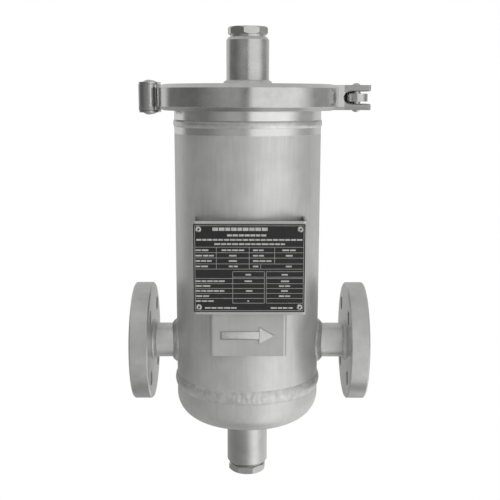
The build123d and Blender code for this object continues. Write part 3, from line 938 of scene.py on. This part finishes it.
@dataclass(frozen=True)
class FlowArrow:
    """Raised arrow on the plate under the name plate, with sloping flanks and a gently bowed face.

    Sizes are in millimetres. Middle is a height over the origin, tail, neck and tip are places
    along the flow from the pot's axis, shaft, shaft_low and head are half widths at the foot,
    slopes are how far the face's edge stands in from the foot, rises are heights over the plate,
    plate_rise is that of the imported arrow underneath, and sink is how deep the foot goes.
    """

    middle: float = 25.2
    tail: float = -25.1
    neck: float = 10.7
    tip: float = 25.4
    shaft: float = 3.85
    shaft_low: float = 4.45
    head: float = 8.2
    tail_slope: float = 2.2
    upper_slope: float = 0.3
    lower_slope: float = 2.3
    head_slope: float = 0.9
    neck_slope: float = 0.2
    tip_slope: float = 1.71
    rise: float = 1.95
    neck_rise: float = 0.9
    head_rise: float = 1.75
    tip_rise: float = 1.15
    plate_rise: float = 0.8
    sink: float = 0.04

    def build(self, axis: Vector, material: bpy.types.Material) -> None:
        """Makes the arrow.

        Args:
            axis: A point on the pot's axis.
            material: Finish.
        """
        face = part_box("flow_arrow_plate")[0].y + self.plate_rise * MM
        shaft_steps, head_steps, across_steps = 16, 12, 4
        skin, rows = Skin(), []

        def spot(x: float, z: float, height: float) -> Vector:
            """Point at a place along the flow, a level and a height over the plate."""
            return Vector((axis.x + x * MM, face - height * MM, (self.middle + z) * MM))

        def row(
            x: float, foot: float, half: float, top_x: float, low: float, high: float, height: float
        ) -> None:
            """Adds one row of points across the arrow, foot to foot.

            Args:
                x: Place of the feet along the flow.
                foot: Lower foot's distance below the arrow's middle.
                half: Upper foot's distance above the arrow's middle.
                top_x: Place of the face's points along the flow.
                low: Level of the face's lower edge.
                high: Level of the face's upper edge.
                height: Face's height over the plate.
            """
            levels = [low + (high - low) * step / across_steps for step in range(across_steps + 1)]
            top = [spot(top_x, level, height) for level in levels]
            rows.append([spot(x, -foot, -self.sink), *top, spot(x, half, -self.sink)])

        shaft_high = self.shaft - self.upper_slope
        low = self.lower_slope - self.shaft_low
        row(self.tail, self.shaft_low, self.shaft, self.tail, low, shaft_high, -self.sink)
        top_tail = self.tail + self.tail_slope
        for share in (step / shaft_steps for step in range(shaft_steps + 1)):
            x = self.tail + (self.neck - self.tail) * share
            height = self.rise + (self.neck_rise - self.rise) * share * share
            low = self.lower_slope * height / self.rise - self.shaft_low
            top_x = top_tail + (self.neck - top_tail) * share
            row(x, self.shaft_low, self.shaft, top_x, low, shaft_high, height)
        top_neck, top_tip = self.neck + self.neck_slope, self.tip - self.tip_slope
        for share in (step / head_steps for step in range(head_steps + 1)):
            x = self.neck + (self.tip - self.neck) * share
            half, wide = (self.head - self.head_slope) * (1 - share), self.head * (1 - share)
            height = self.head_rise + (self.tip_rise - self.head_rise) * share
            row(x, wide, wide, top_neck + (top_tip - top_neck) * share, -half, half, height)
        row(self.tip, 0.0, 0.0, self.tip, 0.0, 0.0, -self.sink)
        skin.grid(rows)
        skin.piece("flow_arrow", Body.VESSEL, Slot.BLASTED, material, smooth=False)


@dataclass(frozen=True)
class PlatePrint:
    """Ruling of the name plate: a form with blank bars where its entries stand.

    Places are in millimetres from the plate's upper left corner.

    Attributes:
        line: Width of the ruled lines.
        film: Height of the print over the plate, in metres.
        frame: Left, top, right and bottom of the outer frame.
        headings: Left, right, middle and height of each heading.
        form_lines: Level lines of the upper form.
        form_columns: Place, top and bottom of its upright lines.
        table_columns: Left and right of the lower table's columns.
        table_lines: Level lines of the table below its head.
        entries: Middle of each row, with the left and right of its entries.
        bar_spread: How much the bars' lengths differ.
    """

    line: float = 0.32
    film: float = 0.03 * MM
    frame: tuple[float, float, float, float] = (1.4, 1.3, 97.7, 78.1)
    headings: tuple[tuple[float, float, float, float], ...] = (
        (17.1, 65.7, 4.4, 2.9),
        (30.0, 64.5, 9.9, 1.8),
        (2.9, 96.4, 13.9, 1.5),
        (18.7, 81.1, 17.7, 1.5),
    )
    form_lines: tuple[float, ...] = (20.5, 25.4, 30.2, 35.5, 40.2)
    form_columns: tuple[tuple[float, float, float], ...] = (
        (20.4, 20.5, 40.2),
        (49.5, 20.5, 40.2),
        (72.0, 20.5, 35.5),
        (59.7, 36.3, 39.6),
    )
    table_columns: Pairs = ((34.9, 63.1), (64.7, 97.3))
    table_top: float = 42.5
    table_head: float = 47.5
    table_lines: tuple[float, ...] = (48.7, 53.4, 57.8, 62.3, 66.9)
    table_bottom: float = 71.3
    entries: tuple[tuple[float, Pairs], ...] = (
        (23.2, ((2.0, 13.4), (25.1, 45.0), (52.8, 62.2), (78.6, 90.7))),
        (28.1, ((2.0, 18.3), (31.8, 38.3), (52.8, 62.5), (81.8, 88.0))),
        (32.9, ((2.0, 16.2), (31.4, 38.6), (52.8, 69.2))),
        (37.8, ((2.0, 12.9), (31.4, 39.4), (52.8, 57.6), (82.0, 87.2))),
        (45.3, ((46.3, 51.2), (78.4, 83.8))),
        (51.2, ((2.0, 27.8), (45.5, 52.0), (77.8, 85.0))),
        (55.6, ((2.0, 14.9), (76.0, 86.0))),
        (60.1, ((2.0, 27.4), (46.6, 52.4), (78.0, 84.0))),
        (64.8, ((2.0, 13.8), (76.0, 86.0))),
        (69.4, ((2.0, 18.0), (48.0, 49.4))),
        (75.7, ((10.0, 38.4), (68.8, 88.6))),
    )
    bar_height: float = 1.35
    longest_bar: float = 5.2
    bar_gap: float = 0.75
    bar_spread: float = 0.45

    def bars(self, left: float, right: float, middle: float, height: float) -> Iterator[Sequence[float]]:
        """Short bars that fill one entry.

        Args:
            left: Entry's left end.
            right: Entry's right end.
            middle: Height of its middle below the plate's top.
            height: Bars' height.

        Yields:
            Left, top, right and bottom of each bar.
        """
        count = max(1, round((right - left) / self.longest_bar))
        seeds = (Vector((3.7 * k, left, middle)) for k in range(count))
        weights = [1 + self.bar_spread * noise.noise(seed) for seed in seeds]
        share = (right - left - self.bar_gap * (count - 1)) / sum(weights)
        for weight in weights:
            end = left + weight * share
            yield left, middle - height / 2, end, middle + height / 2
            left = end + self.bar_gap

    def ruling(self) -> Iterator[Sequence[float]]:
        """Works out the ruled lines.

        Yields:
            Left, top, right and bottom of each line.
        """
        half = self.line / 2
        left, top, right, bottom = self.frame
        first, second = self.table_columns
        level = [(left, right, y) for y in (top, *self.form_lines, bottom)]
        level += [(left, first[0], y) for y in self.table_lines]
        upright = [(x, top, bottom) for x in (left, right)] + list(self.form_columns)
        for start, end in self.table_columns:
            rows = (self.table_top, self.table_head, *self.table_lines, self.table_bottom)
            level += [(start, end, y) for y in rows]
            upright += [(start, self.table_top, self.table_bottom)]
        upright += [(first[1], self.table_top, self.table_bottom)]
        for start, end, y in level:
            yield start - half, y - half, end + half, y + half
        for x, start, end in upright:
            yield x - half, start - half, x + half, end + half

    def build(self, ruled: bpy.types.Material, filled: bpy.types.Material) -> None:
        """Makes the ruling and the bars just above the plate's face.

        Args:
            ruled: Finish of the lines.
            filled: Finish of the bars.
        """
        low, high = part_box("name_plate")
        lines, bars = Skin(), Skin()

        def lay(skin: Skin, place: Sequence[float]) -> None:
            """Adds a thin block over one place of the plate."""
            left, top, right, bottom = (value * MM for value in place)
            skin.block(
                Vector((low.x + left, low.y - self.film, high.z - bottom)),
                Vector((low.x + right, low.y + self.film, high.z - top)),
            )

        for place in self.ruling():
            lay(lines, place)
        entries = list(self.headings)
        for middle, spans in self.entries:
            entries += [(left, right, middle, self.bar_height) for left, right in spans]
        for entry in entries:
            for place in self.bars(*entry):
                lay(bars, place)
        lines.piece("plate_ruling", Body.VESSEL, Slot.PLATE, ruled, smooth=False)
        bars.piece("plate_bars", Body.VESSEL, Slot.PLATE, filled, smooth=False)


# Studio


@dataclass(frozen=True)
class Lamp:
    """Soft rectangular lamp aimed at the part, which reflections leave out.

    Attributes:
        name: Lamp's name.
        azimuth: Degrees round the part from the camera's side, towards +X.
        elevation: Degrees above the part's middle.
        distance: Distance from the part's middle in metres.
        width: Lamp's width in metres.
        height: Lamp's height in metres.
        power: Power in watts.
    """

    name: str
    azimuth: float
    elevation: float
    distance: float
    width: float
    height: float
    power: float

    def build(self, target: Vector) -> None:
        """Makes the lamp.

        Args:
            target: Point that it is aimed at.
        """
        light = bpy.data.lights.new(self.name, "AREA")
        light.shape = "RECTANGLE"
        light.size, light.size_y = self.width, self.height
        light.energy = self.power
        made = bpy.data.objects.new(self.name, light)
        bpy.context.scene.collection.objects.link(made)
        turn, tilt = math.radians(self.azimuth), math.radians(self.elevation)
        level = Vector((math.sin(turn), -math.cos(turn), 0.0)) * math.cos(tilt)
        made.location = target + (level + UP * math.sin(tilt)) * self.distance
        made.rotation_euler = (target - made.location).to_track_quat("-Z", "Y").to_euler()
        made.visible_glossy = made.visible_camera = False


@dataclass(frozen=True)
class Studio:
    """Camera, surroundings, lamps and floor.

    Attributes:
        target: Middle of the part.
        camera_at: Camera's place.
        yaw: Degrees that the camera is turned towards +X.
        pitch: Degrees that it looks down.
        roll: Degrees that it is turned about its own axis.
        lens: Focal length in millimetres on a 36 mm sensor.
        floor_drop: How far the floor lies below the part.
        floor_half: Half of the floor's width.
        walls: Brightness of the room by degrees round the part from the camera's side.
        ceiling: Brightness overhead.
        ceiling_rise: Sines of the elevations where the ceiling starts and where it is full.
        ground: Brightness underneath, by the same degrees.
        ground_rise: The same sines for the ground, downwards.
        nadir: Brightness straight down.
        nadir_rise: The same sines for it.
    """

    target: Vector
    camera_at: Point = (110.46 * MM, -798.87 * MM, 238.66 * MM)
    yaw: float = 0.218
    pitch: float = 10.468
    roll: float = 0.119
    lens: float = 59.59
    floor_drop: float = 0.3
    floor_half: float = 3.0
    walls: Pairs = (
        (-180.0, 0.60),
        (-122.0, 0.78),
        (-112.0, 0.22),
        (-66.0, 0.17),
        (-28.0, 0.40),
        (-10.0, 0.42),
        (-6.0, 0.26),
        (0.0, 0.26),
        (6.0, 1.0),
        (64.0, 1.05),
        (90.0, 0.40),
        (114.0, 0.40),
        (132.0, 0.68),
        (180.0, 0.60),
    )
    ceiling: float = 0.62
    ceiling_rise: tuple[float, float] = (0.2, 0.7)
    ground: Pairs = (
        (-180.0, 0.42),
        (-128.0, 0.44),
        (-112.0, 0.40),
        (-66.0, 0.36),
        (-28.0, 0.42),
        (-1.0, 0.56),
        (20.0, 1.0),
        (38.0, 1.5),
        (60.0, 1.5),
        (70.0, 1.15),
        (100.0, 0.95),
        (130.0, 1.05),
        (146.0, 0.95),
        (163.0, 0.9),
        (170.0, 0.42),
        (180.0, 0.42),
    )
    ground_rise: tuple[float, float] = (0.12, 0.38)
    nadir: float = 0.24
    nadir_rise: tuple[float, float] = (0.92, 0.98)

    def camera(self) -> None:
        """Makes the camera at the photograph's viewing angle."""
        data = bpy.data.cameras.new("camera")
        data.sensor_width = 36.0
        data.lens = self.lens
        data.clip_start = 0.05
        camera = bpy.data.objects.new("camera", data)
        bpy.context.scene.collection.objects.link(camera)
        camera.matrix_world = (
            Matrix.Translation(self.camera_at)
            @ Matrix.Rotation(math.radians(-self.yaw), 4, "Z")
            @ Matrix.Rotation(math.radians(90 - self.pitch), 4, "X")
            @ Matrix.Rotation(math.radians(self.roll), 4, "Z")
        )
        bpy.context.scene.camera = camera

    def around(self, azimuth: Term, stops: Pairs) -> Term | float:
        """Brightness round the part.

        Args:
            azimuth: Degrees round the part.
            stops: Brightness by degrees.

        Returns:
            The brightness at that azimuth.
        """
        level: Term | float = stops[0][1]
        for (start, low), (end, high) in pairwise(stops):
            level = azimuth.ramp(start, end) * (high - low) + level
        return level

    def world(self) -> None:
        """White to the camera, and a room of dark and light walls to the part."""
        world = bpy.data.worlds.new("studio")
        bpy.context.scene.world = world
        graph = Graph(world)
        direction = graph.node("ShaderNodeTexCoord").outputs["Generated"]
        x, y, z = graph.split(direction)
        down = z * -1.0
        azimuth = x.math("ARCTAN2", y * -1.0) * (180 / math.pi)
        level = self.around(azimuth, self.walls)
        level = level + z.ramp(*self.ceiling_rise) * (self.ceiling - level)
        below = self.around(azimuth, self.ground)
        level = level + down.ramp(*self.ground_rise) * (below - level)
        level = level + down.ramp(*self.nadir_rise) * (self.nadir - level)
        seen = Term(graph, graph.node("ShaderNodeLightPath").outputs["Is Camera Ray"])
        strength = level + seen * (1.0 - level)
        background = graph.node("ShaderNodeBackground", {}, {"Color": WHITE, "Strength": strength})
        graph.node("ShaderNodeOutputWorld", {}, {"Surface": background.outputs[0]})

    def floor(self, under: float) -> None:
        """Makes the pale floor, which reflections and a camera underneath see through.

        Args:
            under: Height of the part's lowest point.
        """
        material = bpy.data.materials.new("floor_pale")
        graph = Graph(material)
        paper = graph.noise(graph.place(), 30 * MM, 3.0)
        shade = graph.mix(paper, (0.8, 0.8, 0.8), (0.84, 0.84, 0.84))
        matt = graph.node("ShaderNodeBsdfDiffuse", {}, {"Color": shade})
        glow = graph.node("ShaderNodeEmission", {}, {"Color": WHITE, "Strength": 1.0})
        path = graph.node("ShaderNodeLightPath")
        inputs = {0: path.outputs["Is Camera Ray"], 1: matt.outputs[0], 2: glow.outputs[0]}
        seen = graph.node("ShaderNodeMixShader", {}, inputs)
        clear = graph.node("ShaderNodeBsdfTransparent")
        underside = Term(graph, graph.node("ShaderNodeNewGeometry").outputs["Backfacing"])
        hidden = Term(graph, path.outputs["Is Glossy Ray"]).math("MAXIMUM", underside)
        inputs = {0: hidden, 1: seen.outputs[0], 2: clear.outputs[0]}
        mixed = graph.node("ShaderNodeMixShader", {}, inputs)
        graph.node("ShaderNodeOutputMaterial", {}, {"Surface": mixed.outputs[0]})
        half, z = self.floor_half, under - self.floor_drop
        corners = ((-half, -half), (half, -half), (half, half), (-half, half))
        mesh = bpy.data.meshes.new("floor")
        mesh.from_pydata([(x, y, z) for x, y in corners], [], [(0, 1, 2, 3)])
        mesh.materials.append(material)
        made = bpy.data.objects.new("floor", mesh)
        bpy.context.scene.collection.objects.link(made)
        made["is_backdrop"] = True

    def build(self, under: float) -> None:
        """Makes the whole studio.

        Args:
            under: Height of the part's lowest point.
        """
        self.camera()
        self.world()
        self.floor(under)
        for lamp in (
            Lamp("softbox_right", 38.0, -4.0, 1.3, 0.7, 1.3, 4.0),
            Lamp("softbox_left", -30.0, -12.0, 1.3, 0.7, 1.2, 2.0),
            Lamp("fill_top", -10.0, 52.0, 1.4, 1.0, 1.0, 2.0),
        ):
            lamp.build(self.target)
        bpy.context.scene.view_settings.view_transform = "Standard"


# The part


@dataclass(frozen=True)
class Strainer:
    """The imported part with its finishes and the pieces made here.

    Attributes:
        nodes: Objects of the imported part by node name.
        axis: A point on the pot's axis.
    """

    nodes: dict[str, bpy.types.Object]
    axis: Vector

    def finishes(self) -> dict[str, bpy.types.Material]:
        """Makes every finish.

        Returns:
            Materials by finish name.
        """
        on_axis = tuple(self.axis)
        pin_low, pin_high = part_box("eye_bolt_pin")
        on_bolt = tuple((pin_low + pin_high) / 2)
        ground_band = Zone(Measure.HEIGHT, 204.6 * MM, 216.0 * MM, 0.74, 0.24, 0.95)
        # Painted shade: the clamp's lower bevel is darkened in colour where shade falls under the clamp; it
        # is also made rougher.
        clamp_bevel = Zone(Measure.HEIGHT, 225.0 * MM, 230.2 * MM, 0.45, 0.30, 1.0)
        cast_ears = Zone(Measure.DISTANCE, 91.9 * MM, 200.0 * MM, 0.40, 0.32, 1.0)
        steels = (
            SteelFinish(
                "blasted",
                0.50,
                0.66,
                0.38,
                metallic=0.6,
                blotch_size=22 * MM,
                grain_size=0.45 * MM,
                grain_depth=0.03 * MM,
                streaks=0.35,
                centre=on_axis,
                zones=(ground_band,),
            ),
            SteelFinish("drawn_pipe", 0.62, 0.78, 0.34, 0.7, blotch_size=12 * MM, grain_size=0.45 * MM),
            SteelFinish("dressed_weld", 0.52, 0.70, 0.30, 0.85, blotch_size=6 * MM, grain_depth=0.03 * MM),
            SteelFinish("pickled_weld", 0.46, 0.70, 0.40, 0.6, blotch_size=7 * MM, grain_depth=0.05 * MM),
            SteelFinish(
                "sheet", 0.46, 0.56, 0.42, 0.6, blotch_size=26 * MM, grain_depth=0.015 * MM, streaks=0.25
            ),
            SteelFinish(
                "cast",
                0.54,
                0.66,
                0.14,
                blotch_size=9 * MM,
                grain_size=0.7 * MM,
                centre=on_axis,
                edge=0.7 * MM,
                zones=(clamp_bevel, cast_ears),
            ),
            SteelFinish("polished_arrow", 0.66, 0.78, 0.20, blotch_size=8 * MM, grain_depth=0.01 * MM),
            SteelFinish(
                "turned_dull", 0.45, 0.57, 0.32, lay=Lay.ABOUT_Z, lay_depth=0.012 * MM, centre=on_axis
            ),
            SteelFinish(
                "turned_about_pot", 0.50, 0.64, 0.27, lay=Lay.ABOUT_Z, lay_depth=0.012 * MM, centre=on_axis
            ),
            SteelFinish(
                "bright_turned", 0.70, 0.80, 0.20, lay=Lay.ABOUT_Z, lay_depth=0.006 * MM, centre=on_axis
            ),
            SteelFinish("turned_about_pipe", 0.50, 0.64, 0.34, 0.85, lay=Lay.ABOUT_X, lay_depth=0.012 * MM),
            SteelFinish("turned_about_bolt", 0.50, 0.66, 0.25, lay=Lay.ABOUT_Y, centre=on_bolt),
            SteelFinish("woven", 0.30, 0.50, 0.4, grain_size=0.35 * MM),
        )
        coats = (
            CoatFinish("black_plate", 0.006, 0.011, 0.45),
            CoatFinish("rubber", 0.02, 0.035, 0.6),
            CoatFinish("tape", 0.72, 0.85, 0.5, 2 * MM, 0.04 * MM),
            CoatFinish("ruled_ink", 0.36, 0.46, 0.5, 3 * MM),
            CoatFinish("bar_ink", 0.34, 0.56, 0.5, 1.2 * MM),
        )
        return {finish.name: finish.build() for finish in (*steels, *coats)}

    def dress(self, materials: dict[str, bpy.types.Material]) -> None:
        """Gives each node its finish.

        Args:
            materials: Materials by finish name.
        """
        groups = {
            "blasted": ("shell", "dished_end", "cover"),
            "drawn_pipe": ("inlet_nozzle", "outlet_nozzle"),
            "bright_turned": ("body_ferrule",),
            "sheet": ("plate_bracket", "flow_arrow_plate"),
            "cast": ("clamp_front_half", "clamp_rear_half", "hinge_link_upper", "hinge_link_lower"),
            "turned_dull": ("drain_socket", "drain_plug"),
            "turned_about_pot": (
                "vent_socket",
                "vent_plug",
                "hinge_pin_front",
                "hinge_pin_rear",
                "eye_bolt_pin",
                "basket_seat",
            ),
            "turned_about_pipe": ("inlet_flange", "outlet_flange"),
            "turned_about_bolt": ("eye_bolt", "clamp_washer", "clamp_nut", "plate_rivets"),
            "woven": ("basket_rim", "basket_screen", "mesh_liner", "basket_base", "basket_handle"),
            "black_plate": ("name_plate",),
            "rubber": ("cover_gasket",),
            "tape": ("vent_thread_seal", "drain_thread_seal"),
        }
        for finish, names in groups.items():
            for name in names:
                mesh = self.nodes[name].data
                for number in range(len(mesh.materials)):
                    mesh.materials[number] = materials[finish]
                LOG.info("node %s: %s", name, finish)

    def build(self) -> None:
        """Dresses the nodes and makes the added pieces."""
        materials = self.finishes()
        self.dress(materials)
        Welds(self.axis).build(materials["pickled_weld"], materials["dressed_weld"])
        BoltThread().build(materials["turned_about_bolt"])
        FlowArrow().build(self.axis, materials["polished_arrow"])
        PlatePrint().build(materials["ruled_ink"], materials["bar_ink"])


def main() -> None:
    """Loads the frame and makes the whole scene."""
    logging.basicConfig(level=logging.INFO, format="%(name)s: %(message)s")
    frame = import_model()
    frame_low, frame_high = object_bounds()
    low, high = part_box("shell")
    axis = (low + high) / 2
    axis.z = 0.0
    Studio(target=(frame_low + frame_high) / 2).build(frame_low.z)
    Strainer(frame["nodes"], axis).build()


if __name__ == "__main__":
    main()
